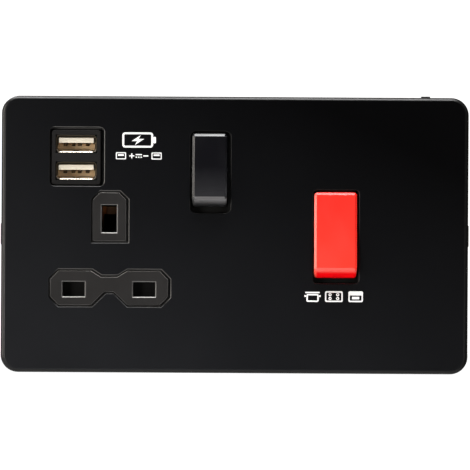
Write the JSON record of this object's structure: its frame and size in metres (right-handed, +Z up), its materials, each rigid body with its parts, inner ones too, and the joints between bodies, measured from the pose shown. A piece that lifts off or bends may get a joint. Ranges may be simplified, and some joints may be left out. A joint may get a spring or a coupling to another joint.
{
  "type": "cooker control unit",
  "caption": "Wall unit for a kitchen: two-pole cooker switch with a red rocker, switched three-pin socket outlet and twin charging ports under a rounded black metal plate that clips on",
  "frame": {"origin": "on the wall surface, midway between the two fixing screws", "axes": "+X to the right along the plate's length, +Z up, the front faces -Y and +Y points into the wall"},
  "size_m": [0.1476, 0.0402, 0.0875],
  "materials": {
    "plate": "matt black powder coat",
    "frame_plastic": "moulded",
    "insert_plastic": "moulded, lightly textured",
    "black_rocker": "polished moulding",
    "red_rocker": "polished moulding",
    "base_plastic": "moulded",
    "shutter_plastic": "moulded",
    "tongue_plastic": "moulded",
    "brass": "bright",
    "copper_strip": "phosphor bronze",
    "steel": "zinc plated",
    "shell_metal": "nickel plated",
    "spring_steel": "drawn wire",
    "board": "coated board",
    "component_black": "moulded",
    "transformer_tape": "taped winding",
    "lead_sheath": "sheathed"
  },
  "bodies": {
    "unit": {"front_plate": "plate", "mounting_frame": "frame_plastic", "fixing_screws": "steel", "plate_earth_spring": "copper_strip", "socket_cover": "insert_plastic", "socket_base": "base_plastic", "shutter_spring": "spring_steel", "earth_contact": "copper_strip", "live_contact": "copper_strip", "neutral_contact": "copper_strip", "earth_terminal": "brass", "live_link": "copper_strip", "neutral_link": "copper_strip", "socket_switch_carrier": "frame_plastic", "cooker_switch_carrier": "frame_plastic", "cooker_switch_base": "base_plastic", "terminal_screws": "steel", "housing_screws": "steel", "supply_live_contact": "copper_strip", "supply_neutral_contact": "copper_strip", "load_live_contact": "copper_strip", "load_neutral_contact": "copper_strip", "usb_insert": "insert_plastic", "usb_board": "board", "usb_rear_cover": "base_plastic", "usb_transformer": "transformer_tape", "usb_capacitor": "component_black", "usb_chip": "component_black", "usb_leads": "lead_sheath", "supply_live_terminal": "brass", "supply_neutral_terminal": "brass", "load_live_terminal": "brass", "load_neutral_terminal": "brass", "upper_port_shell": "shell_metal", "upper_port_tongue": "tongue_plastic", "upper_port_pins": "brass", "lower_port_shell": "shell_metal", "lower_port_tongue": "tongue_plastic", "lower_port_pins": "brass"},
    "socket_rocker": {"socket_rocker": "black_rocker", "socket_plungers": "brass", "socket_plunger_springs": "spring_steel"},
    "cooker_rocker": {"cooker_rocker": "red_rocker", "cooker_plungers": "brass", "cooker_plunger_springs": "spring_steel"},
    "socket_live_blade": {"socket_live_blade": "brass"},
    "socket_neutral_blade": {"socket_neutral_blade": "brass"},
    "cooker_live_blade": {"cooker_live_blade": "brass"},
    "cooker_neutral_blade": {"cooker_neutral_blade": "brass"},
    "shutter": {"shutter": "shutter_plastic"}
  },
  "joints": [
    {"name": "socket_rocker_hinge", "type": "hinge", "parent": "unit", "child": "socket_rocker", "pos_m": [-0.00795, 0.003, 0.0198], "axis": [1, 0, 0], "range_deg": [0, 18]},
    {"name": "cooker_rocker_hinge", "type": "hinge", "parent": "unit", "child": "cooker_rocker", "pos_m": [0.03172, 0.003, -0.0004], "axis": [1, 0, 0], "range_deg": [0, 18]},
    {"name": "socket_live_blade_hinge", "type": "hinge", "parent": "unit", "child": "socket_live_blade", "pos_m": [-0.00525, 0.016, 0.0198], "axis": [1, 0, 0], "range_deg": [-12, 0]},
    {"name": "socket_neutral_blade_hinge", "type": "hinge", "parent": "unit", "child": "socket_neutral_blade", "pos_m": [-0.01065, 0.016, 0.0198], "axis": [1, 0, 0], "range_deg": [-12, 0]},
    {"name": "cooker_live_blade_hinge", "type": "hinge", "parent": "unit", "child": "cooker_live_blade", "pos_m": [0.02842, 0.016, -0.0004], "axis": [1, 0, 0], "range_deg": [-12, 0]},
    {"name": "cooker_neutral_blade_hinge", "type": "hinge", "parent": "unit", "child": "cooker_neutral_blade", "pos_m": [0.03502, 0.016, -0.0004], "axis": [1, 0, 0], "range_deg": [-12, 0]},
    {"name": "shutter_slide", "type": "slide", "parent": "unit", "child": "shutter", "axis": [0, 0, -1], "range_m": [0, 0.0058], "stiffness_N_per_m": 150, "deforming": ["shutter_spring"]}
  ],
  "couplings": [
    {"joint": "socket_live_blade_hinge", "follows": "socket_rocker_hinge", "ratio": -0.66667},
    {"joint": "socket_neutral_blade_hinge", "follows": "socket_rocker_hinge", "ratio": -0.66667},
    {"joint": "cooker_live_blade_hinge", "follows": "cooker_rocker_hinge", "ratio": -0.66667},
    {"joint": "cooker_neutral_blade_hinge", "follows": "cooker_rocker_hinge", "ratio": -0.66667}
  ]
}
